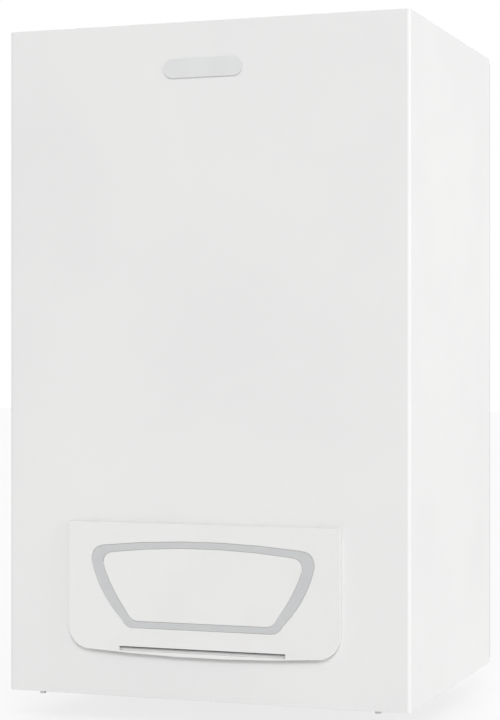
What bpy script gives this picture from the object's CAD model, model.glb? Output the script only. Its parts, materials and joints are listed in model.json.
# %% [markdown]
# # A wall-hung combi boiler
# A combi boiler is a white sheet-steel box on a wall. Behind one smooth casing sit a gas burner, a
# finned heat exchanger, a fan, a pump and the brass blocks that join them to the pipes below. The
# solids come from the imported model, in metres: the wall is the plane Y = 0, the front faces -Y and
# Z is up. This script gives every solid its finish and adds the detail that the solids leave out.

# %% Load the frame
import json
import math

import bmesh
import bpy
from mathutils import Matrix, Vector


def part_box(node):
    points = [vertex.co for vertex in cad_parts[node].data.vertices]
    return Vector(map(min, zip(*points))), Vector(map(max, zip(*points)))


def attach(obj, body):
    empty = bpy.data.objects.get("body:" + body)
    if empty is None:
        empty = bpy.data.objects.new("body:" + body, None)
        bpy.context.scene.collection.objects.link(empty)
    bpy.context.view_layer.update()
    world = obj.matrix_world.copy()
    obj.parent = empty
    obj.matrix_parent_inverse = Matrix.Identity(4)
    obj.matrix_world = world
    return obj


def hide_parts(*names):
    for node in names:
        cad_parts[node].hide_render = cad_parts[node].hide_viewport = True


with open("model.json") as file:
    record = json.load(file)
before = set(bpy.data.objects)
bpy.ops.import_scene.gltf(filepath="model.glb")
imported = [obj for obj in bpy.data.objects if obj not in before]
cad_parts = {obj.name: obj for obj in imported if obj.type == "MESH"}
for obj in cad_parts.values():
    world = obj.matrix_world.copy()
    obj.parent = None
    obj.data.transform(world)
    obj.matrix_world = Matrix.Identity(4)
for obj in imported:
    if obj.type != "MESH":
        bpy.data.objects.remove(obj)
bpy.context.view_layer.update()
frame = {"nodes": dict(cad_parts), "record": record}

# %% [markdown]
# ## The camera
# The photograph is taken level with the middle of the casing, from the right, with its upright edges
# upright. So the camera is turned about Z only, and a long lens gives the weak perspective that the
# top and bottom edges show.

# %% The camera
CAMERA_PLACE = (0.7267, -2.2810, -0.2791)
CAMERA_TURN = 19.4865    # degrees about Z; at 0 it would look straight at the wall
FOCAL_LENGTH = 99.24     # millimetres, on a sensor 36 mm wide

lens = bpy.data.cameras.new("photo_lens")
lens.sensor_fit = "AUTO"
lens.sensor_width = 36.0
lens.lens = FOCAL_LENGTH
camera = bpy.data.objects.new("photo_camera", lens)
camera.location = CAMERA_PLACE
camera.rotation_euler = (math.radians(90.0), 0.0, math.radians(CAMERA_TURN))
bpy.context.scene.collection.objects.link(camera)
bpy.context.scene.camera = camera
bpy.context.scene.view_settings.view_transform = "Standard"
print("camera", tuple(camera.location), "lens", lens.lens)

# %% [markdown]
# ## Light
# White enamel shows its shape by small steps of grey, so the light has to be even. A lamp close by
# would make one corner of a flat front brighter than the other. A sun lamp lights all of it alike,
# and a wide angle keeps its shadows soft. The first one comes from above and a little from the right
# and lights the front, the second comes almost level from the right and lights the side, and the
# third lights the back. The world adds an even light, and looks white to the camera, in reflections
# and through glass.

# %% Lamps and world
AMBIENT = 0.52       # how bright the world is as a lamp; it is seen at full white


def soft_sun(name, travels, power, spread):
    """A far lamp whose light travels along a direction; spread is its width in degrees."""
    lamp = bpy.data.lights.new(name, "SUN")
    lamp.energy = power
    lamp.angle = math.radians(spread)
    holder = bpy.data.objects.new(name, lamp)
    holder.rotation_euler = Vector(travels).to_track_quat("-Z", "Y").to_euler()
    bpy.context.scene.collection.objects.link(holder)


soft_sun("front_sun", (-0.30, 0.80, -0.60), 1.31, 22.0)
soft_sun("side_sun", (-1.0, 0.05, -0.25), 0.94, 30.0)
soft_sun("back_sun", (0.25, -1.0, -0.45), 0.9, 30.0)

world = bpy.data.worlds.new("studio")
world.use_nodes = True
bpy.context.scene.world = world
sky = world.node_tree.nodes
sky_links = world.node_tree.links
rays = sky.new("ShaderNodeLightPath")
seen_or_mirrored = sky.new("ShaderNodeMath")
seen_or_mirrored.operation = "ADD"
sky_links.new(rays.outputs["Is Camera Ray"], seen_or_mirrored.inputs[0])
sky_links.new(rays.outputs["Is Glossy Ray"], seen_or_mirrored.inputs[1])
seen_at_all = sky.new("ShaderNodeMath")
seen_at_all.operation = "ADD"
seen_at_all.use_clamp = True
sky_links.new(seen_or_mirrored.outputs[0], seen_at_all.inputs[0])
sky_links.new(rays.outputs["Is Transmission Ray"], seen_at_all.inputs[1])
brightness = sky.new("ShaderNodeMapRange")
brightness.inputs["To Min"].default_value = AMBIENT
brightness.inputs["To Max"].default_value = 1.0
sky_links.new(seen_at_all.outputs[0], brightness.inputs["Value"])
sky_links.new(brightness.outputs["Result"], sky["Background"].inputs["Strength"])
sky["Background"].inputs["Color"].default_value = (1.0, 1.0, 1.0, 1.0)

# %% [markdown]
# ## The floor
# The photograph has a white ground with one faint grey shadow below the casing. A plain pale floor
# lies just below the pipe ends. Part of its colour is plain white that only the camera sees, so the
# ground looks white and the shadow stays faint. The real boiler hangs on a wall and can be looked at
# from below, so the floor is clear from its underside.

# %% The floor
FLOOR_HEIGHT = -0.662      # 7 mm below the ends of the pipe tails
FLOOR_REACH = 12.0
SEEN_WHITE = 0.80          # the share of plain white in what the camera sees

floor_form = bmesh.new()
bmesh.ops.create_grid(floor_form, x_segments=1, y_segments=1, size=FLOOR_REACH)
bmesh.ops.translate(floor_form, vec=(0.0, 0.0, FLOOR_HEIGHT), verts=floor_form.verts)
floor_mesh = bpy.data.meshes.new("floor")
floor_form.to_mesh(floor_mesh)
floor_form.free()
floor = bpy.data.objects.new("floor", floor_mesh)
bpy.context.scene.collection.objects.link(floor)

floor_paint = bpy.data.materials.new("pale_floor")
floor_paint.use_nodes = True
paint = floor_paint.node_tree.nodes
paint.remove(paint["Principled BSDF"])
matt = paint.new("ShaderNodeBsdfDiffuse")
matt.inputs["Color"].default_value = (0.85, 0.85, 0.85, 1.0)
glow = paint.new("ShaderNodeEmission")
glow.inputs["Color"].default_value = (1.0, 1.0, 1.0, 1.0)
seen = paint.new("ShaderNodeLightPath")
share = paint.new("ShaderNodeMath")
share.operation = "MULTIPLY"
share.inputs[1].default_value = SEEN_WHITE
blend = paint.new("ShaderNodeMixShader")
paint_links = floor_paint.node_tree.links
paint_links.new(seen.outputs["Is Camera Ray"], share.inputs[0])
paint_links.new(share.outputs[0], blend.inputs["Fac"])
paint_links.new(matt.outputs["BSDF"], blend.inputs[1])
paint_links.new(glow.outputs["Emission"], blend.inputs[2])
clear = paint.new("ShaderNodeBsdfTransparent")
side_of_floor = paint.new("ShaderNodeNewGeometry")
one_sided = paint.new("ShaderNodeMixShader")
paint_links.new(side_of_floor.outputs["Backfacing"], one_sided.inputs["Fac"])
paint_links.new(blend.outputs["Shader"], one_sided.inputs[1])
paint_links.new(clear.outputs["BSDF"], one_sided.inputs[2])
paint_links.new(one_sided.outputs["Shader"], paint["Material Output"].inputs["Surface"])
floor_mesh.materials.append(floor_paint)
print("floor at", FLOOR_HEIGHT)

# %% [markdown]
# ## How a finish is made
# Every finish starts as one Principled shader and gets a few layers: a slow change of tone, a fine
# grain, and a roughness that varies with them. The patterns read Object coordinates. All solids keep
# their object at the origin, so one metre of pattern is one metre of boiler and nothing slides when
# a piece moves.

# %% A helper for layered finishes
WAVE_PERIOD = 0.314      # a Wave texture of scale 1 repeats after this many metres
AS_IT_IS = (1.0, 1.0, 1.0)

finishes = {}


class Finish:
    """A Principled material and the layers that are added to it, kept by name in finishes."""

    def __init__(self, name, colour, roughness, metallic=0.0):
        self.material = bpy.data.materials.new(name)
        self.material.use_nodes = True
        self.tree = self.material.node_tree
        self.shader = self.tree.nodes["Principled BSDF"]
        self.colour = colour
        self.shader.inputs["Base Color"].default_value = (*colour, 1.0)
        self.shader.inputs["Roughness"].default_value = roughness
        self.shader.inputs["Metallic"].default_value = metallic
        self.place = self.tree.nodes.new("ShaderNodeTexCoord").outputs["Object"]
        self.tone_socket = None
        self.last_relief = None
        finishes[name] = self.material

    def join(self, source, target):
        """Wires an output to an input."""
        self.tree.links.new(source, target)

    def stretched(self, stretch):
        """The place of a point, squeezed along an axis so that a pattern runs longer there."""
        if stretch == AS_IT_IS:
            return self.place
        mapping = self.tree.nodes.new("ShaderNodeMapping")
        mapping.inputs["Scale"].default_value = stretch
        self.join(self.place, mapping.inputs["Vector"])
        return mapping.outputs["Vector"]

    def clouds(self, size, detail=3.0, stretch=AS_IT_IS):
        """Soft noise whose patches are about size metres across."""
        noise = self.tree.nodes.new("ShaderNodeTexNoise")
        noise.inputs["Scale"].default_value = 1.0 / size
        noise.inputs["Detail"].default_value = detail
        self.join(self.stretched(stretch), noise.inputs["Vector"])
        return noise.outputs["Fac"]

    def flakes(self, size):
        """Cells of about size metres, each with its own value, as on galvanised sheet."""
        cells = self.tree.nodes.new("ShaderNodeTexVoronoi")
        cells.inputs["Scale"].default_value = 1.0 / size
        self.join(self.place, cells.inputs["Vector"])
        split = self.tree.nodes.new("ShaderNodeSeparateColor")
        self.join(cells.outputs["Color"], split.inputs["Color"])
        return split.outputs["Red"]

    def rings(self, pitch, axis="Z"):
        """Even bands across an axis, one every pitch metres."""
        wave = self.tree.nodes.new("ShaderNodeTexWave")
        wave.bands_direction = axis
        wave.inputs["Scale"].default_value = WAVE_PERIOD / pitch
        self.join(self.place, wave.inputs["Vector"])
        return wave.outputs["Fac"]

    def spread(self, factor, low, high, out_low, out_high):
        """factor from low to high becomes out_low to out_high."""
        scale = self.tree.nodes.new("ShaderNodeMapRange")
        scale.inputs["From Min"].default_value = low
        scale.inputs["From Max"].default_value = high
        scale.inputs["To Min"].default_value = out_low
        scale.inputs["To Max"].default_value = out_high
        self.join(factor, scale.inputs["Value"])
        return scale.outputs["Result"]

    def tone(self, factor, other, low=0.35, high=0.65, most=1.0):
        """Where factor is high the colour goes over to other, by most of the way."""
        mix = self.tree.nodes.new("ShaderNodeMix")
        mix.data_type = "RGBA"
        self.join(self.spread(factor, low, high, 0.0, most), mix.inputs["Factor"])
        if self.tone_socket is None:
            mix.inputs["A"].default_value = (*self.colour, 1.0)
        else:
            self.join(self.tone_socket, mix.inputs["A"])
        mix.inputs["B"].default_value = (*other, 1.0)
        self.tone_socket = mix.outputs["Result"]
        self.join(self.tone_socket, self.shader.inputs["Base Color"])

    def gloss(self, factor, smooth, rough, low=0.35, high=0.65):
        """The roughness follows factor from smooth to rough."""
        self.join(self.spread(factor, low, high, smooth, rough), self.shader.inputs["Roughness"])

    def relief(self, factor, depth, strength=1.0):
        """The surface rises by depth metres where factor is 1."""
        bump = self.tree.nodes.new("ShaderNodeBump")
        bump.inputs["Distance"].default_value = depth
        bump.inputs["Strength"].default_value = strength
        self.join(factor, bump.inputs["Height"])
        if self.last_relief is not None:
            self.join(self.last_relief, bump.inputs["Normal"])
        self.last_relief = bump.outputs["Normal"]
        self.join(self.last_relief, self.shader.inputs["Normal"])


print("Finish is ready")

# %% [markdown]
# ## White, grey and printed finishes
# The casing is powder-coated steel: a warm white satin coat with a very fine orange peel, and a
# little unevenness where the powder lies thicker. The flap, knobs and buttons are moulded plastic of
# nearly the same white, with a finer, drier spark grain. The ring, the plate and the seals are greys
# of their own, and the scales are printed in a soft black.

# %% Light finishes
enamel = Finish("white_enamel", (0.815, 0.812, 0.808), 0.42)
enamel.tone(enamel.clouds(0.16, 2.0), (0.795, 0.792, 0.790))
enamel.gloss(enamel.clouds(0.05, 4.0), 0.36, 0.46)
enamel.relief(enamel.clouds(0.0016, 2.0), 0.00003)
enamel.relief(enamel.clouds(0.09, 1.0), 0.0004, 0.3)
enamel.shader.inputs["Coat Weight"].default_value = 0.15
enamel.shader.inputs["Coat Roughness"].default_value = 0.3

plastic = Finish("white_plastic", (0.815, 0.812, 0.806), 0.48)
plastic.tone(plastic.clouds(0.06, 2.0), (0.80, 0.797, 0.79))
plastic.gloss(plastic.clouds(0.004, 3.0), 0.44, 0.54)
plastic.relief(plastic.clouds(0.0006, 1.0), 0.000015)

grey_ring = Finish("ring_grey", (0.58, 0.585, 0.59), 0.55)
grey_ring.tone(grey_ring.clouds(0.02, 3.0), (0.56, 0.565, 0.572))
grey_ring.gloss(grey_ring.clouds(0.003, 2.0), 0.50, 0.62)
grey_ring.relief(grey_ring.clouds(0.0007, 1.0), 0.00002)

plate_grey = Finish("plate_grey", (0.735, 0.74, 0.745), 0.40)
plate_grey.tone(plate_grey.clouds(0.02, 2.0), (0.715, 0.72, 0.725))
plate_grey.gloss(plate_grey.clouds(0.002, 2.0), 0.34, 0.46)
plate_grey.relief(plate_grey.clouds(0.0006, 1.0), 0.00001)

dial_white = Finish("dial_white", (0.83, 0.83, 0.81), 0.6)
dial_white.tone(dial_white.clouds(0.004, 2.0), (0.80, 0.80, 0.775))
dial_white.gloss(dial_white.clouds(0.0015, 2.0), 0.5, 0.7)
dial_white.relief(dial_white.clouds(0.0005, 1.0), 0.00001)

print_grey = Finish("print_grey", (0.085, 0.088, 0.095), 0.55)
print_grey.tone(print_grey.clouds(0.0012, 2.0), (0.115, 0.118, 0.125))
print_grey.gloss(print_grey.clouds(0.001, 2.0), 0.45, 0.65)

seal_grey = Finish("seal_grey", (0.16, 0.163, 0.168), 0.7)
seal_grey.tone(seal_grey.clouds(0.01, 2.0), (0.13, 0.133, 0.137))
seal_grey.gloss(seal_grey.clouds(0.002, 2.0), 0.62, 0.8)
seal_grey.relief(seal_grey.clouds(0.0008, 1.0), 0.00003)

screen = Finish("screen_face", (0.235, 0.275, 0.235), 0.25)
screen.tone(screen.clouds(0.012, 2.0), (0.26, 0.30, 0.255))
screen.tone(screen.rings(0.0006, "X"), (0.225, 0.262, 0.225), 0.4, 0.9, 0.5)
screen.gloss(screen.clouds(0.003, 2.0), 0.18, 0.32)
print("light finishes:", list(finishes))

# %% [markdown]
# ## Dark plastic, rubber and the painted vessel
# The control box, motors and rocker are dark moulded plastic with a coarse grain. The hose and the
# cable gland are rubber, which is matt and slightly dusty. The expansion vessel is pressed steel
# with a thick red stove enamel.

# %% Dark and coloured finishes
dark = Finish("dark_plastic", (0.060, 0.063, 0.068), 0.5)
dark.tone(dark.clouds(0.03, 3.0), (0.082, 0.085, 0.09))
dark.gloss(dark.clouds(0.002, 2.0), 0.42, 0.6)
dark.relief(dark.clouds(0.0011, 2.0), 0.00004)

rubber = Finish("rubber", (0.022, 0.022, 0.024), 0.75)
rubber.tone(rubber.clouds(0.012, 4.0), (0.055, 0.054, 0.052), 0.45, 0.8)
rubber.gloss(rubber.clouds(0.003, 3.0), 0.65, 0.85)
rubber.relief(rubber.clouds(0.0008, 2.0), 0.00005)

vessel = Finish("vessel_red", (0.42, 0.030, 0.022), 0.33)
vessel.tone(vessel.clouds(0.05, 3.0), (0.36, 0.022, 0.018))
vessel.gloss(vessel.clouds(0.01, 3.0), 0.26, 0.40)
vessel.relief(vessel.clouds(0.003, 2.0), 0.0001)
vessel.shader.inputs["Coat Weight"].default_value = 0.3

SIGNALS = (("signal_red", (0.62, 0.035, 0.028), (0.54, 0.028, 0.024)),
           ("signal_blue", (0.030, 0.115, 0.46), (0.024, 0.09, 0.38)))
for name, colour, shade in SIGNALS:
    signal = Finish(name, colour, 0.38)
    signal.tone(signal.clouds(0.01, 2.0), shade)
    signal.gloss(signal.clouds(0.002, 2.0), 0.32, 0.46)
    signal.relief(signal.clouds(0.0007, 1.0), 0.00003)

board = Finish("board_green", (0.020, 0.13, 0.055), 0.35)
board.tone(board.flakes(0.006), (0.028, 0.19, 0.075), 0.55, 0.6)
board.tone(board.clouds(0.0016, 1.0), (0.015, 0.09, 0.04), 0.55, 0.6)
board.gloss(board.clouds(0.004, 2.0), 0.25, 0.45)
board.relief(board.clouds(0.0014, 1.0), 0.00008)
print("finishes so far:", len(finishes))

# %% [markdown]
# ## Bare metals
# Galvanised sheet shows zinc flakes of different grey. Stainless steel is brushed along its length.
# Cast parts are rough and slightly uneven. Brass and copper darken and go brown where they were
# handled or heated.

# %% Metal finishes
zinc = Finish("galvanised", (0.56, 0.57, 0.58), 0.38, 1.0)
zinc.tone(zinc.flakes(0.009), (0.68, 0.69, 0.70), 0.2, 0.9)
zinc.tone(zinc.clouds(0.03, 4.0), (0.47, 0.48, 0.49), 0.5, 0.75)
zinc.gloss(zinc.flakes(0.007), 0.28, 0.50, 0.1, 0.9)
zinc.relief(zinc.clouds(0.002, 2.0), 0.00004)

frame_steel = Finish("frame_grey", (0.50, 0.505, 0.51), 0.45, 0.6)
frame_steel.tone(frame_steel.clouds(0.06, 3.0), (0.45, 0.455, 0.46))
frame_steel.gloss(frame_steel.clouds(0.01, 4.0), 0.38, 0.55)
frame_steel.relief(frame_steel.clouds(0.0012, 2.0), 0.00004)

stainless = Finish("stainless", (0.60, 0.59, 0.575), 0.28, 1.0)
stainless.tone(stainless.clouds(0.02, 3.0), (0.50, 0.485, 0.46))
stainless.gloss(stainless.clouds(0.002, 3.0, (0.04, 1.0, 1.0)), 0.22, 0.42)
stainless.relief(stainless.clouds(0.0008, 2.0, (0.03, 1.0, 1.0)), 0.00002)

cast = Finish("cast_grey", (0.46, 0.465, 0.475), 0.5, 1.0)
cast.tone(cast.clouds(0.008, 4.0), (0.36, 0.365, 0.375))
cast.gloss(cast.clouds(0.003, 3.0), 0.42, 0.62)
cast.relief(cast.clouds(0.0015, 3.0), 0.00012)

iron = Finish("cast_iron", (0.055, 0.058, 0.065), 0.55, 0.3)
iron.tone(iron.clouds(0.007, 4.0), (0.095, 0.09, 0.085))
iron.gloss(iron.clouds(0.003, 3.0), 0.45, 0.70)
iron.relief(iron.clouds(0.0022, 3.0), 0.0003)

brass = Finish("brass", (0.66, 0.47, 0.20), 0.34, 1.0)
brass.tone(brass.clouds(0.012, 4.0), (0.47, 0.31, 0.12))
brass.tone(brass.clouds(0.003, 3.0), (0.36, 0.23, 0.10), 0.58, 0.75, 0.6)
brass.gloss(brass.clouds(0.004, 3.0), 0.26, 0.48)
brass.relief(brass.clouds(0.0014, 3.0), 0.00008)

copper = Finish("copper", (0.75, 0.36, 0.20), 0.30, 1.0)
copper.tone(copper.clouds(0.03, 4.0), (0.50, 0.20, 0.10))
copper.tone(copper.clouds(0.008, 3.0), (0.30, 0.13, 0.08), 0.56, 0.78, 0.7)
copper.gloss(copper.clouds(0.006, 3.0), 0.22, 0.46)
copper.relief(copper.clouds(0.0016, 2.0), 0.00004)

ceramic = Finish("ceramic", (0.74, 0.72, 0.68), 0.85)
ceramic.tone(ceramic.clouds(0.006, 5.0), (0.60, 0.575, 0.53))
ceramic.gloss(ceramic.clouds(0.004, 2.0), 0.78, 0.92)
ceramic.relief(ceramic.clouds(0.0018, 4.0, (1.0, 1.0, 0.3)), 0.0004)

glass = Finish("clear_glass", (0.92, 0.95, 0.95), 0.06)
glass.shader.inputs["Transmission Weight"].default_value = 1.0
glass.shader.inputs["IOR"].default_value = 1.46
glass.gloss(glass.clouds(0.01, 3.0), 0.03, 0.10)
glass.relief(glass.clouds(0.02, 1.0), 0.00005, 0.4)
print("finishes:", len(finishes))

# %% [markdown]
# ## Dressing the solids
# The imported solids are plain: loose triangles with sharp edges. Real sheet metal, castings and
# mouldings have a small radius on every edge, and it is this radius that catches the light. So each
# solid is copied, its triangles are merged, flat faces become single faces, and a Bevel modifier
# rounds the edges. Round surfaces get smooth normals. The copy then stands for the solid.

# %% Helpers that copy and round a solid
SAME_CORNER = 2e-6       # corners closer than this are one corner
FLAT_BEND = 0.8          # faces that meet at less than this many degrees are one flat face
SHARP_BEND = 32.0        # edges that bend more than this many degrees are real edges

body_of_node = {node: body
                for body, nodes in frame["record"]["behaviour"]["bodies"].items()
                for node in nodes}


def middle_of(node):
    """The middle of a solid's box."""
    low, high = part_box(node)
    return tuple((a + b) / 2 for a, b in zip(low, high))


def put(name, form, body, finish):
    """Turns a bmesh into a piece that rides on a body, without the normals a solid came with."""
    mesh = bpy.data.meshes.new(name)
    form.to_mesh(mesh)
    form.free()
    stored = mesh.attributes.get("custom_normal")
    if stored is not None:
        mesh.attributes.remove(stored)
    piece = bpy.data.objects.new(name, mesh)
    bpy.context.scene.collection.objects.link(piece)
    mesh.materials.append(finishes[finish])
    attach(piece, body)
    return piece


def soften(form, angle):
    """Smooth shading everywhere but on edges sharper than angle degrees."""
    for face in form.faces:
        face.smooth = True
    for edge in form.edges:
        edge.smooth = edge.calc_face_angle(0.0) < math.radians(angle)


def round_edges(piece, radius, angle):
    """A Bevel modifier on the edges that bend more than angle degrees."""
    bevel = piece.modifiers.new("edge_radius", "BEVEL")
    bevel.width = radius
    bevel.segments = 2
    bevel.limit_method = "ANGLE"
    bevel.angle_limit = math.radians(angle)
    bevel.harden_normals = True


def merged_copy(node):
    """A solid's form with its triangles merged into flat faces."""
    form = bmesh.new()
    form.from_mesh(frame["nodes"][node].data)
    bmesh.ops.remove_doubles(form, verts=form.verts, dist=SAME_CORNER)
    bmesh.ops.dissolve_limit(form, angle_limit=math.radians(FLAT_BEND), verts=form.verts,
                             edges=form.edges)
    return form


def dress(node, finish, radius=0.0):
    """A merged copy of a solid with rounded edges that stands for the solid."""
    form = merged_copy(node)
    soften(form, SHARP_BEND)
    piece = put(node + "_skin", form, body_of_node[node], finish)
    if radius > 0.0:
        round_edges(piece, radius, SHARP_BEND)
    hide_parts(node)


print("bodies:", len(set(body_of_node.values())))

# %% [markdown]
# ## The plain solids
# Most solids only need their finish and their edge radius. Sheet metal has a radius of about half a
# millimetre, castings more, and thin fins and blades keep their sharp edges.

# %% Dress the front solids
FRONT = [
    ("outer_casing", "white_enamel", 0.0006),
    ("control_flap", "white_plastic", 0.0010),
    ("flap_surround", "white_plastic", 0.0005),
    ("control_fascia", "ring_grey", 0.0006),
    ("control_box", "dark_plastic", 0.0006),
    ("display_lens", "clear_glass", 0.0004),
    *((f"button_{count}", "white_plastic", 0.0005) for count in range(1, 5)),
    ("power_rocker", "dark_plastic", 0.0005),
    ("pressure_gauge", "white_plastic", 0.0005),
]
for node, finish, radius in FRONT:
    dress(node, finish, radius)
dress("gauge_pointer", "signal_red")
print("front solids dressed:", len(FRONT) + 1)

# %% Dress the inner solids
INNER = [
    ("back_frame", "frame_grey", 0.0006),
    ("top_plate", "frame_grey", 0.0006),
    ("bottom_plate", "frame_grey", 0.0006),
    ("wall_bracket", "galvanised", 0.0004),
    ("chamber_box", "galvanised", 0.0006),
    ("chamber_cover", "galvanised", 0.0006),
    ("combustion_shroud", "galvanised", 0.0004),
    ("fan_housing", "galvanised", 0.0005),
    ("burner", "stainless", 0.0004),
    ("flue_hood", "stainless", 0.0004),
    ("fan_impeller", "stainless", 0.0),
    ("diverter_spindle", "stainless", 0.0003),
    ("plate_heat_exchanger", "stainless", 0.0006),
    ("fan_motor", "cast_grey", 0.0006),
    ("gas_valve", "cast_grey", 0.0016),
    ("pump_housing", "cast_iron", 0.0012),
    ("gas_manifold", "brass", 0.0005),
    ("flow_block", "brass", 0.0014),
    ("return_block", "brass", 0.0014),
    ("safety_valve", "brass", 0.0005),
    ("air_vent", "brass", 0.0005),
    ("gas_inlet_pipe", "brass", 0.0005),
    ("heat_exchanger", "copper", 0.0),
    ("ceramic_lining", "ceramic", 0.0006),
    ("ignition_electrodes", "ceramic", 0.0003),
    ("expansion_vessel", "vessel_red", 0.0012),
    ("sight_glass", "clear_glass", 0.0003),
    ("circuit_board", "board_green", 0.0003),
    ("diverter_motor", "dark_plastic", 0.0008),
    ("pump_motor", "dark_plastic", 0.0018),
    ("air_pressure_switch", "dark_plastic", 0.0008),
    ("pump_impeller", "dark_plastic", 0.0),
    ("cable_gland", "rubber", 0.0004),
    ("safety_valve_knob", "signal_red", 0.0022),
    ("filling_tap_knob", "signal_blue", 0.0022),
]
for node, finish, radius in INNER:
    dress(node, finish, radius)
print("inner solids dressed:", len(INNER))

# %% [markdown]
# ## Round pipes
# The solids of the pipes have few sides. A pipe is bent from round tube, so the edges that run along
# it are rounded until they meet. They are told from the square edges of the pipe's ends by their
# angle, and get a bevel weight, which the Bevel modifier then follows.

# %% Pipes
PIPES = (("gas_feed_pipe", "copper", 0.0026), ("flow_pipe", "copper", 0.0030),
         ("return_pipe", "copper", 0.0030), ("expansion_pipe", "copper", 0.0018),
         ("pressure_hose", "rubber", 0.0011))
PIPE_END_BEND = 76.0     # the edges of a pipe's ends bend more than this many degrees

for node, finish, width in PIPES:
    form = merged_copy(node)
    weight = form.edges.layers.float.new("bevel_weight_edge")
    long_edges = 0
    for edge in form.edges:
        bend = math.degrees(edge.calc_face_angle(0.0))
        if SHARP_BEND < bend < PIPE_END_BEND and all(len(face.verts) == 4 for face in edge.link_faces):
            edge[weight] = 1.0
            long_edges += 1
    soften(form, PIPE_END_BEND)
    pipe = put(node + "_tube", form, body_of_node[node], finish)
    bevel = pipe.modifiers.new("round_tube", "BEVEL")
    bevel.width = width
    bevel.segments = 4
    bevel.limit_method = "WEIGHT"
    bevel.use_clamp_overlap = True
    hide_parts(node)
    print(node, "edges rounded:", long_edges)

# %% [markdown]
# ## Making small pieces
# Knobs, dials, nuts and screw heads are small turned or pressed forms. Each starts flat at the
# origin, facing +Z, and is then turned to face its own way and moved to its place. Several copies
# can share one mesh, which is cheaper than an object for each screw.

# %% Helpers for small pieces
FACING = {
    "up": Matrix.Identity(3),
    "down": Matrix.Rotation(math.pi, 3, "X"),
    "front": Matrix.Rotation(math.pi / 2, 3, "X"),
    "back": Matrix.Rotation(-math.pi / 2, 3, "X"),
}
ORIGIN = (0.0, 0.0, 0.0)
UPWARD = (0.0, 0.0, 1.0)
PRINT = 0.0001           # the thickness of printed ink


def placed(part, place=ORIGIN, facing="up", roll=0.0):
    """Rolls part about its own Z, turns it to its facing and moves it to its place."""
    turn = FACING[facing] @ Matrix.Rotation(math.radians(roll), 3, "Z")
    bmesh.ops.rotate(part, cent=ORIGIN, matrix=turn, verts=part.verts)
    bmesh.ops.translate(part, vec=place, verts=part.verts)
    return part


def add_to(whole, part, place=ORIGIN, facing="up", roll=0.0):
    """Puts part in its place and adds it to whole."""
    step = bpy.data.meshes.new("step")
    placed(part, place, facing, roll).to_mesh(step)
    part.free()
    whole.from_mesh(step)
    bpy.data.meshes.remove(step)


def turned(profile, steps=64):
    """A form turned about Z from pairs of radius and height, which run from the axis or close up."""
    form = bmesh.new()
    points = [form.verts.new((radius, 0.0, height)) for radius, height in profile]
    ends = points[1:] if profile[0][0] == 0.0 else points[1:] + points[:1]
    edges = [form.edges.new(pair) for pair in zip(points, ends)]
    bmesh.ops.spin(form, geom=points + edges, cent=ORIGIN, axis=UPWARD, angle=2 * math.pi,
                   steps=steps, use_merge=True, use_duplicate=False)
    bmesh.ops.remove_doubles(form, verts=form.verts, dist=1e-7)
    bmesh.ops.recalc_face_normals(form, faces=form.faces)
    return form


def slab(width, height, low, high, corner=0.0, segments=3):
    """A plate from low to high with its four upright edges rounded."""
    form = bmesh.new()
    bmesh.ops.create_cube(form, size=1.0)
    bmesh.ops.scale(form, vec=(width, height, high - low), verts=form.verts)
    bmesh.ops.translate(form, vec=(0.0, 0.0, (low + high) / 2), verts=form.verts)
    if corner > 0.0:
        upright = [e for e in form.edges
                   if abs(e.verts[0].co.z - e.verts[1].co.z) > (high - low) / 2]
        bmesh.ops.bevel(form, geom=upright, offset=corner, offset_type="OFFSET", segments=segments,
                        profile=0.5, affect="EDGES", material=-1)
    return form


def thickened(form, depth, closed=True):
    """Lifts flat faces by the vector depth, with walls; closed keeps a face on the first side too."""
    lifted = bmesh.ops.extrude_face_region(form, geom=list(form.faces), use_keep_orig=closed)
    raised = [item for item in lifted["geom"] if isinstance(item, bmesh.types.BMVert)]
    bmesh.ops.translate(form, vec=depth, verts=raised)
    bmesh.ops.recalc_face_normals(form, faces=form.faces)
    return form


def finish_piece(name, form, body, finish, radius=0.0, angle=35.0):
    """Smooths a form, rounds its edges and puts it on a body."""
    soften(form, angle)
    piece = put(name, form, body, finish)
    if radius > 0.0:
        round_edges(piece, radius, angle)
    return piece


def hex_screw(across):
    """A hexagon head on a washer flange, with a dished top."""
    flange_height = across * 0.12
    head_height = across * 0.36
    head_middle = across * 0.28
    form = bmesh.new()
    flange = bmesh.ops.create_cone(form, cap_ends=True, cap_tris=False, segments=24,
                                   radius1=across * 0.66, radius2=across * 0.60,
                                   depth=flange_height)
    bmesh.ops.translate(form, vec=(0.0, 0.0, flange_height / 2), verts=flange["verts"])
    head = bmesh.ops.create_cone(form, cap_ends=True, cap_tris=False, segments=6,
                                 radius1=across * 0.52, radius2=across * 0.49, depth=head_height)
    bmesh.ops.translate(form, vec=(0.0, 0.0, head_middle), verts=head["verts"])
    top = max(form.faces, key=lambda face: face.calc_center_median().z)
    bmesh.ops.inset_region(form, faces=[top], thickness=across * 0.12, depth=-across * 0.07)
    return form


def screws(name, body, across, seats):
    """One mesh of galvanised screws; each seat is a place, a facing and a roll."""
    form = bmesh.new()
    for place, facing, roll in seats:
        add_to(form, hex_screw(across), place, facing, roll)
    finish_piece(name, form, body, "galvanised", across * 0.03)


print("helpers for small pieces are ready")

# %% [markdown]
# ## The grey ring on the flap
# A grey ring is set into the white flap. Its outline is wide at the top and narrows over a knee to
# straight feet. On the real flap it is pressed in without a visible joint, while the solid has a
# working gap round it. So the front faces of the solid are taken, pushed outwards by a little over
# half a millimetre so that they cover the gap, and given a small thickness. Two faces in one plane
# would flicker, so this ring stands for the solid instead of lying on it.

# %% The ring's face
RING_OVERLAP = 0.0006
RING_THICKNESS = 0.00042

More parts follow.
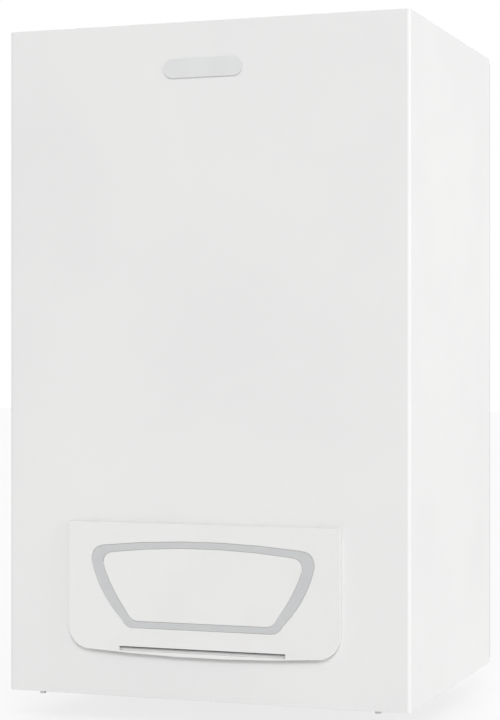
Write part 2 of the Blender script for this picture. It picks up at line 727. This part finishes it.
ring = bmesh.new()
ring.from_mesh(frame["nodes"]["flap_inlay"].data)
bmesh.ops.remove_doubles(ring, verts=ring.verts, dist=SAME_CORNER)
ring_front = min(vert.co.y for vert in ring.verts)
behind = [face for face in ring.faces if face.calc_center_median().y > ring_front + 1e-5]
bmesh.ops.delete(ring, geom=behind, context="FACES")
bmesh.ops.inset_region(ring, faces=list(ring.faces), thickness=RING_OVERLAP, use_boundary=True,
                       use_even_offset=True, use_outset=True)
thickened(ring, (0.0, RING_THICKNESS, 0.0))
ring_face = finish_piece("ring_face", ring, "flap", "ring_grey", 0.00015, 50.0)
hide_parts("flap_inlay")
print("ring front at", round(ring_front, 5))

# %% [markdown]
# ## The blank plate and the flap's seal
# The plate near the top of the front is plain, with a soft edge. Under the flap's lower edge a grey
# seal strip closes the gap to the casing, and shows as the thin dark line below the flap. It rises
# towards its ends, as the flap's edge does. A strip of the same rubber lines the roof of the finger
# slot, so the slot reads as a dark line too.

# %% Plate and seal
SEAL = (0.249, 0.0022, 0.0034)       # width, height and depth of the seal under the flap
SEAL_RISE = 0.0041                   # how much higher its ends are than its middle
SEAL_CUTS = 24
PAD = (0.1812, 0.0014, 0.0022)       # the same three of the strip in the finger slot
PAD_PLACE = (0.0, -0.3747, -0.57755)

dress("badge", "plate_grey", 0.0005)

casing_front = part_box("outer_casing")[0][1]
flap_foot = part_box("control_flap")[0][2]
seal = slab(SEAL[0], SEAL[1], 0.0, SEAL[2])
lengthwise = [e for e in seal.edges if abs(e.verts[0].co.x - e.verts[1].co.x) > SEAL[0] / 2]
bmesh.ops.subdivide_edges(seal, edges=lengthwise, cuts=SEAL_CUTS, use_grid_fill=True)
for vert in seal.verts:
    vert.co.y += SEAL_RISE * (vert.co.x / (SEAL[0] / 2)) ** 2
placed(seal, (0.0, casing_front - 0.0003, flap_foot + 0.0007), "front")
finish_piece("flap_seal", seal, "flap", "seal_grey", 0.0003)

pad = placed(slab(PAD[0], PAD[1], 0.0, PAD[2]), PAD_PLACE, "front")
finish_piece("slot_pad", pad, "flap", "seal_grey", 0.0003)
print("seal under", round(flap_foot, 4))

# %% [markdown]
# ## The two dials
# Behind the flap are two dials, for tap water and for heating. A moulded dial is a shallow disc with
# a finger bar across it and fine ribs round its edge. The disc is turned, the bar is a block with
# rounded edges, and one rib is copied round the disc with spin.

# %% Dials
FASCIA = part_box("control_fascia")[0][1]
DIALS = {node: (middle_of(node)[0], FASCIA, middle_of(node)[2])
         for node in ("hot_water_knob", "heating_knob")}
DISC = [(0.0, 0.0003), (0.0168, 0.0003), (0.0168, 0.0022), (0.0158, 0.0036), (0.0140, 0.0041),
        (0.0, 0.0041)]
RIBS = 60
RIB = (0.0006, 0.0005, 0.0020)
RIB_PLACE = (0.0167, 0.0, 0.0014)
BAR_WIDTH, BAR_LENGTH = 0.0064, 0.0272
BAR_FOOT, BAR_TOP = 0.0036, 0.0079
BAR_CORNER = 0.0028
BAR_EDGE = 0.0009
MARK_DROP = 0.0080       # from the dial's middle down to its printed mark


def dial_form():
    """The disc, its ribs and its finger bar."""
    form = turned(DISC, 96)
    ribs = bmesh.new()
    bmesh.ops.create_cube(ribs, size=1.0)
    bmesh.ops.scale(ribs, vec=RIB, verts=ribs.verts)
    bmesh.ops.translate(ribs, vec=RIB_PLACE, verts=ribs.verts)
    bmesh.ops.spin(ribs, geom=ribs.verts[:] + ribs.edges[:] + ribs.faces[:], cent=ORIGIN,
                   axis=UPWARD, angle=2 * math.pi * (RIBS - 1) / RIBS, steps=RIBS - 1,
                   use_duplicate=True)
    add_to(form, ribs)
    bar = slab(BAR_WIDTH, BAR_LENGTH, BAR_FOOT, BAR_TOP, BAR_CORNER, 5)
    rim = [e for e in bar.edges if min(v.co.z for v in e.verts) > BAR_TOP - 0.0001]
    bmesh.ops.bevel(bar, geom=rim, offset=BAR_EDGE, offset_type="OFFSET", segments=3,
                    profile=0.5, affect="EDGES", material=-1)
    add_to(form, bar)
    return form


for node, centre in DIALS.items():
    dial = finish_piece(node + "_dial", placed(dial_form(), centre, "front"), body_of_node[node],
                        "white_plastic")
    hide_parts(node)
    mark = slab(0.0010, 0.0085, BAR_TOP - 0.0001, BAR_TOP + 0.00008, 0.0003)
    placed(mark, (centre[0], FASCIA, centre[2] - MARK_DROP), "front")
    finish_piece(node + "_mark", mark, body_of_node[node], "print_grey")
print("dials at", list(DIALS.values()))

# %% [markdown]
# ## Printed scales
# The scale round each dial is printed on the fascia: strokes that grow longer clockwise, from the
# shortest at the foot to the longest at the right. Print is a tenth of a millimetre thick here, so
# that it lies on the surface without flickering. The numbers are text turned into a mesh. The signs
# above the dials are a drop for tap water and a radiator for heating.

# %% Scales
STROKES = 28
STROKE_STEP = 10         # degrees between two strokes of a dial's scale
SCALE_RADIUS = 0.0178    # where the strokes start
DIGITS = (("0", 0.0222, -180), ("5", 0.0232, 90))
DIGIT_SIZE = 0.0045
SIGN_LIFT = 0.0305       # from a dial's middle up to its sign
COLUMN_PITCH = 0.002     # between two columns of the radiator sign
RAIL_RISE = 0.0028       # from the radiator's middle to its rails


def number(text, size):
    """Text as a mesh, centred on the origin and facing +Z."""
    curve = bpy.data.curves.new("number", "FONT")
    curve.body = text
    curve.size = size
    curve.align_x = "CENTER"
    curve.align_y = "CENTER"
    curve.extrude = PRINT / 2
    holder = bpy.data.objects.new("number", curve)
    bpy.context.scene.collection.objects.link(holder)
    bpy.context.view_layer.update()
    flat = bpy.data.meshes.new_from_object(holder)
    bpy.data.objects.remove(holder)
    bpy.data.curves.remove(curve)
    form = bmesh.new()
    form.from_mesh(flat)
    bpy.data.meshes.remove(flat)
    bmesh.ops.remove_doubles(form, verts=form.verts, dist=1e-7)
    return form


def around(centre, radius, clock):
    """A place at a radius and a clock angle in degrees from straight up, seen from the front."""
    turn = math.radians(clock)
    return (centre[0] + radius * math.sin(turn), centre[1], centre[2] + radius * math.cos(turn))


def drop_form():
    """A circle whose upper part is drawn out to a point."""
    neck = 0.0012
    form = bmesh.new()
    rim = bmesh.ops.create_circle(form, cap_ends=True, segments=24, radius=0.0026)["verts"]
    for vert in rim:
        above = vert.co.y - neck
        if above > 0.0:
            vert.co.x *= 1.0 - above / 0.0016
            vert.co.y = neck + above * 3.4
    return thickened(form, (0.0, 0.0, PRINT), closed=False)


scales = bmesh.new()
for centre in DIALS.values():
    for step in range(STROKES):
        clock = -180 + step * STROKE_STEP
        length = 0.0006 + 0.00006 * step
        add_to(scales, slab(0.0005, length, 0.0, PRINT),
               around(centre, SCALE_RADIUS + length / 2, clock), "front", -clock)
    for digit, radius, clock in DIGITS:
        add_to(scales, number(digit, DIGIT_SIZE), around(centre, radius, clock), "front")
finish_piece("dial_scales", scales, "chassis", "print_grey")

signs = bmesh.new()
radiator_x, _, dial_height = DIALS["heating_knob"]
sign_height = dial_height + SIGN_LIFT
for column in range(-2, 3):
    add_to(signs, slab(0.0012, 0.0075, 0.0, PRINT, 0.0005),
           (radiator_x + COLUMN_PITCH * column, FASCIA, sign_height), "front")
for level in (-RAIL_RISE, RAIL_RISE):
    add_to(signs, slab(0.0104, 0.0006, 0.0, PRINT), (radiator_x, FASCIA, sign_height + level), "front")
add_to(signs, drop_form(), (DIALS["hot_water_knob"][0], FASCIA, sign_height - 0.0013), "front")
finish_piece("dial_signs", signs, "chassis", "print_grey")
print("scales printed")

# %% [markdown]
# ## The pressure gauge
# The gauge is a round tin with a printed face, a red pointer and a domed window. The scale runs from
# 0 to 4 bar, with a green arc at the right filling pressure and a red one near the safety valve's.

# %% Gauge
GAUGE = (middle_of("pressure_gauge")[0], FASCIA + 0.0012, middle_of("pressure_gauge")[2])
INK = (GAUGE[0], GAUGE[1] - 0.0002, GAUGE[2])            # the face's own front
FIGURE_INK = (GAUGE[0], GAUGE[1] - 0.00025, GAUGE[2])
SWEEP = 125.0            # degrees from straight up to either end of the scale
DIVISIONS = 40
FULL_SCALE = 4           # bar
FACE_RADIUS = 0.0175
STROKE_RADIUS = 0.0148   # where the strokes end
NUMBER_RADIUS = 0.0094
UNIT_DROP = 0.0075       # from the middle down to the unit
ARC = (0.0152, 0.0166)   # inner and outer radius of the coloured arcs


def arc(start, end):
    """A flat band between two clock angles."""
    inner, outer = ARC
    form = bmesh.new()
    begin = math.radians(90.0 - end)
    corners = [form.verts.new((r * math.cos(begin), r * math.sin(begin), h))
               for r, h in ((inner, 0.0), (outer, 0.0), (outer, PRINT), (inner, PRINT))]
    section = form.faces.new(corners)
    bmesh.ops.spin(form, geom=[section] + list(section.edges) + corners, cent=ORIGIN, axis=UPWARD,
                   angle=math.radians(end - start), steps=16, use_merge=False, use_duplicate=False)
    bmesh.ops.recalc_face_normals(form, faces=form.faces)
    return form


face_disc = turned([(0.0014, 0.00005), (FACE_RADIUS, 0.00005), (FACE_RADIUS, 0.0002),
                    (0.0014, 0.0002)])
finish_piece("gauge_face", placed(face_disc, GAUGE, "front"), "chassis", "dial_white")

strokes = bmesh.new()
for step in range(DIVISIONS + 1):
    clock = -SWEEP + step * 2 * SWEEP / DIVISIONS
    width = 0.0004 if step % 10 == 0 else 0.00022
    length = 0.0030 if step % 10 == 0 else (0.0021 if step % 5 == 0 else 0.0012)
    add_to(strokes, slab(width, length, 0.0, PRINT),
           around(INK, STROKE_RADIUS - length / 2, clock), "front", -clock)
for value in range(FULL_SCALE + 1):
    clock = -SWEEP + value * 2 * SWEEP / FULL_SCALE
    add_to(strokes, number(str(value), 0.0038), around(FIGURE_INK, NUMBER_RADIUS, clock), "front")
add_to(strokes, number("bar", 0.0030), around(FIGURE_INK, UNIT_DROP, 180), "front")
finish_piece("gauge_scale", strokes, "chassis", "print_grey")

bezel = turned([(FACE_RADIUS, -0.0011), (0.0213, 0.0002), (0.0213, 0.0021), (0.0200, 0.0033),
                (0.0185, 0.0034), (FACE_RADIUS, 0.0012)], 96)
placed(bezel, (GAUGE[0], FASCIA, GAUGE[2]), "front")
finish_piece("gauge_bezel", bezel, "chassis", "white_plastic", 0.0003)

for name, start, end, finish in (("gauge_green_arc", -62.5, -31.0, "board_green"),
                                 ("gauge_red_arc", 62.5, SWEEP, "signal_red")):
    finish_piece(name, placed(arc(start, end), INK, "front"), "chassis", finish)

window = turned([(0.0, 0.0027), (0.0177, 0.0027), (0.0177, 0.0031), (0.0120, 0.0036), (0.0, 0.0038)])
finish_piece("gauge_window", placed(window, GAUGE, "front"), "chassis", "clear_glass")
print("gauge at", GAUGE)

# %% [markdown]
# ## The display and the rocker's marks
# The display is a plain liquid crystal screen behind the window: a grey-green field with dark
# seven-bar figures. Each bar is a small block with cut corners. The rocker carries the usual ring
# and stroke for off and on, tilted with its two faces.

# %% Display and rocker marks
SCREEN = (middle_of("display_lens")[0], FASCIA + 0.0025, middle_of("display_lens")[2])
SCREEN_DEPTH = 0.0004
LIQUID = SCREEN[1] - SCREEN_DEPTH    # the figures lie on the screen's front
BAR_RISE = 0.0044                    # from a figure's middle to its top and foot bars
BAR_SIDE = 0.0024
BARS = {
    "top": (0.0, BAR_RISE, 90), "middle": (0.0, 0.0, 90), "foot": (0.0, -BAR_RISE, 90),
    "high_left": (-BAR_SIDE, BAR_RISE / 2, 0), "high_right": (BAR_SIDE, BAR_RISE / 2, 0),
    "low_left": (-BAR_SIDE, -BAR_RISE / 2, 0), "low_right": (BAR_SIDE, -BAR_RISE / 2, 0),
}
SIX = ("top", "middle", "foot", "high_left", "low_left", "low_right")
NOUGHT = ("top", "foot", "high_left", "high_right", "low_left", "low_right")
ROCKER_TILT = 15.4       # degrees between either face of the rocker and the fascia
ROCKER_FACE = 0.0018     # how far the middle of either face stands out from the fascia
ROCKER_MARK = 0.0070     # from the rocker's middle to either mark

screen_plate = placed(slab(0.0588, 0.0188, 0.0, SCREEN_DEPTH), SCREEN, "front")
finish_piece("screen_plate", screen_plate, "chassis", "screen_face")

figures = bmesh.new()
for x, bars in ((-0.0060, SIX), (0.0020, NOUGHT)):
    for bar_name in bars:
        dx, dz, roll = BARS[bar_name]
        add_to(figures, slab(0.0010, 0.0038, 0.0, PRINT, 0.00045, 2),
               (x + dx, LIQUID, SCREEN[2] + dz), "front", roll)
add_to(figures, number("°C", 0.0062), (0.0105, LIQUID - PRINT / 2, SCREEN[2] + 0.0015), "front")
for step in range(4):
    add_to(figures, slab(0.0022, 0.0016 + 0.0016 * step, 0.0, PRINT),
           (-0.0250 + 0.0032 * step, LIQUID, SCREEN[2] - 0.0060 + 0.0008 * step), "front")
finish_piece("screen_figures", figures, "chassis", "print_grey")

rocker_x, _, rocker_height = middle_of("power_rocker")
marks = bmesh.new()
on_stroke = slab(0.0008, 0.0036, 0.0, 0.00015)
off_ring = turned([(0.0013, 0.0), (0.0019, 0.0), (0.0019, 0.00015), (0.0013, 0.00015)], 32)
for mark, side in ((on_stroke, 1), (off_ring, -1)):
    bmesh.ops.rotate(mark, cent=ORIGIN, verts=mark.verts,
                     matrix=Matrix.Rotation(math.radians(side * ROCKER_TILT), 3, "X"))
    add_to(marks, mark, (rocker_x, FASCIA - ROCKER_FACE, rocker_height + side * ROCKER_MARK), "front")
finish_piece("rocker_marks", marks, "rocker", "dial_white")
print("display and rocker marks made")

# %% [markdown]
# ## Screws
# The sheet parts are held by flange-head screws: the chamber cover round its rim, the top plate and
# the flue collar from above, the casing from below. A row of real heads is what tells a cover from
# a painted block, so each head has its flange, its hexagon and its dished top.

# %% Screws
FLUE = (middle_of("flue_collar")[0], middle_of("flue_collar")[1], 0.0)
COLLAR_FLANGE = 0.0703   # the height of the flange's upper face
COLLAR_CIRCLE = 0.0588   # the radius of the circle of screws
COVER_PRESSING = 0.0020  # the middle of the chamber cover stands this much proud of its rim
COVER_ROWS = (-0.315, -0.222, -0.128, -0.035, 0.050)
COVER_COLUMNS = (-0.110, 0.0, 0.110)
COVER_SIDE = 0.1895
COVER_TOP, COVER_FOOT = 0.0595, -0.3385
PLATE_SIDE = 0.196
PLATE_REAR, PLATE_FRONT = -0.030, -0.345
FOOT_SIDE, FOOT_DEPTH = 0.185, -0.3645

cover_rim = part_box("chamber_cover")[0][1] + COVER_PRESSING
cover_seats = []
for index, z in enumerate(COVER_ROWS):
    for side in (-COVER_SIDE, COVER_SIDE):
        cover_seats.append(((side, cover_rim, z), "front", 17 * index + (20 if side > 0 else 0)))
for index, x in enumerate(COVER_COLUMNS):
    cover_seats.append(((x, cover_rim, COVER_TOP), "front", 23 * index))
    cover_seats.append(((x, cover_rim, COVER_FOOT), "front", 11 * index))
screws("cover_screws", "chassis", 0.0080, cover_seats)

collar_seats = []
for index in range(4):
    turn = math.radians(45 + 90 * index)
    collar_seats.append(((FLUE[0] + COLLAR_CIRCLE * math.cos(turn),
                          FLUE[1] + COLLAR_CIRCLE * math.sin(turn), COLLAR_FLANGE), "up", 12 * index))
screws("collar_screws", "chassis", 0.0070, collar_seats)

plate_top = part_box("top_plate")[1][2]
plate_spots = [(x, y) for y in (PLATE_REAR, PLATE_FRONT) for x in (-PLATE_SIDE, PLATE_SIDE)]
plate_spots += [(0.0, PLATE_REAR), (0.0, PLATE_FRONT)]
plate_seats = [((x, y, plate_top), "up", 9 * index) for index, (x, y) in enumerate(plate_spots)]
screws("top_plate_screws", "chassis", 0.0065, plate_seats)

casing_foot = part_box("outer_casing")[0][2]
foot_seats = [((-FOOT_SIDE, FOOT_DEPTH, casing_foot), "down", 0),
              ((FOOT_SIDE, FOOT_DEPTH, casing_foot), "down", 31)]
screws("casing_screws", "casing", 0.0065, foot_seats)
print("screws:", len(cover_seats) + len(collar_seats) + len(plate_seats) + len(foot_seats))

# %% [markdown]
# ## Spot welds on the back
# The back sheet is spot-welded to its folded sides and to the cross rails. A spot weld is a shallow
# round dimple with a raised edge, the size of a shirt button, so each is a small turned ring.

# %% Spot welds
DIMPLE = [(0.0, -0.0002), (0.0018, -0.0001), (0.0026, 0.0002), (0.0032, 0.0)]
SIDE_ROWS = (-0.60, -0.52, -0.44, -0.20, -0.11, 0.045)
SIDE_SPOT = 0.208
RAIL_ROWS = (-0.612, 0.056)
RAIL_SPOTS = (-0.150, -0.050, 0.050, 0.150)

side_spots = [(x, z) for z in SIDE_ROWS for x in (-SIDE_SPOT, SIDE_SPOT)]
rail_spots = [(x, z) for z in RAIL_ROWS for x in RAIL_SPOTS]
back_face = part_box("back_frame")[1][1]
welds = bmesh.new()
for x, z in side_spots + rail_spots:
    add_to(welds, turned(DIMPLE, 24), (x, back_face, z), "back")
finish_piece("back_welds", welds, "chassis", "frame_grey", angle=60.0)
print("spot welds:", len(side_spots + rail_spots))

# %% [markdown]
# ## The flue connection
# On top sits the flue collar, a cast ring with a screwed flange, and inside it the spigot of the
# inner pipe. Both are turned parts that are seen from close by, so they are turned again with many
# more steps than the solids have.

# %% Flue collar and spigot
collar = turned([(0.0500, 0.0683), (0.0660, 0.0683), (0.0660, 0.0703), (0.0545, 0.0703),
                 (0.0527, 0.0710), (0.0520, 0.0728), (0.0520, 0.0802), (0.0524, 0.0806),
                 (0.0524, 0.0816), (0.0520, 0.0820), (0.0520, 0.0840), (0.0500, 0.0840)], 112)
collar_casting = finish_piece("collar_casting", placed(collar, FLUE), "chassis", "cast_grey",
                              0.0004)
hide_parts("flue_collar")

spigot = turned([(0.0220, 0.0442), (0.0300, 0.0442), (0.0300, 0.0740), (0.0303, 0.0745),
                 (0.0303, 0.0755), (0.0300, 0.0760), (0.0300, 0.0820), (0.0285, 0.0820),
                 (0.0285, 0.0482), (0.0220, 0.0462)], 96)
spigot_pipe = finish_piece("spigot_pipe", placed(spigot, FLUE), "chassis", "stainless",
                           0.0003)
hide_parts("exhaust_spigot")

spigot_seal = turned([(0.0285, 0.0770), (0.0272, 0.0777), (0.0268, 0.0785), (0.0272, 0.0793),
                      (0.0285, 0.0800)], 72)
finish_piece("spigot_seal", placed(spigot_seal, FLUE), "chassis", "rubber")
print("flue connection at", FLUE)

# %% [markdown]
# ## Threads on the pipe tails
# The five tails end in pipe threads for the installer's nuts. A thread this small reads as fine even
# ridges, so each one is a turned sleeve with a saw-tooth profile that sits just outside the tail.

# %% Threads
TAILS = ((-0.130, 0.0132), (-0.065, 0.0104), (0.0, 0.0106), (0.065, 0.0104), (0.130, 0.0132))
TAIL_DEPTH = middle_of("gas_inlet_pipe")[1]
TAIL_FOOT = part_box("gas_inlet_pipe")[0][2]
THREAD_PITCH = 0.0016
THREAD_TURNS = 9
SLEEVE_DEPTH = 0.0008    # how far a sleeve reaches into its tail
CREST, VALLEY = 0.0005, -0.0001      # both measured from the tail's own radius

sleeves = bmesh.new()
for x, radius in TAILS:
    profile = [(radius - SLEEVE_DEPTH, 0.0002), (radius - 0.0002, 0.0002)]
    for ridge in range(THREAD_TURNS):
        profile.append((radius + CREST, 0.0010 + THREAD_PITCH * ridge))
        profile.append((radius + VALLEY, 0.0018 + THREAD_PITCH * ridge))
    profile.append((radius - SLEEVE_DEPTH, 0.0150))
    add_to(sleeves, turned(profile, 48), (x, TAIL_DEPTH, TAIL_FOOT))
finish_piece("tail_threads", sleeves, "chassis", "brass", angle=80.0)
print("threads on", len(TAILS), "tails")
